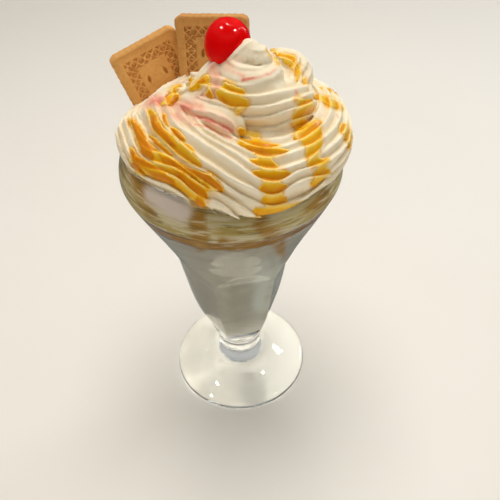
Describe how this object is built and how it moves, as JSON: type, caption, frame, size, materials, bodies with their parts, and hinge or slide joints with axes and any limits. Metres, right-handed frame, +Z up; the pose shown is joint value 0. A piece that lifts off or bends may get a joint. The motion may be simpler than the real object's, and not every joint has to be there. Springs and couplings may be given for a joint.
{
  "type": "ice cream sundae",
  "caption": "Ice cream sundae in a footed tulip glass: fluted cone of ice cream, caramel layer, swirl of piped whipped cream with caramel drizzle, a cherry and biscuits.",
  "frame": {"origin": "centre of the foot's underside, where the glass stands on its surface", "axes": "+Z up along the glass's axis; -Y is the front, with the biscuits behind; +X to the right seen from the front"},
  "size_m": [0.1064, 0.1032, 0.2197],
  "materials": {
    "glass": "clear pressed glass, smooth and glossy",
    "ice_cream": "packed off-white ice cream against the glass",
    "caramel": "glossy amber caramel sauce",
    "cream": "soft piped whipped cream, faintly moist",
    "cherry": "glossy wet red cocktail cherry",
    "biscuit": "golden-brown baked biscuit, dry and matte"
  },
  "bodies": {
    "root": {"glass": "glass", "ice_cream": "ice_cream", "sauce_layer": "caramel", "whipped_cream": "cream", "cherry": "cherry", "biscuit_left": "biscuit", "biscuit_right": "biscuit"}
  },
  "joints": []
}
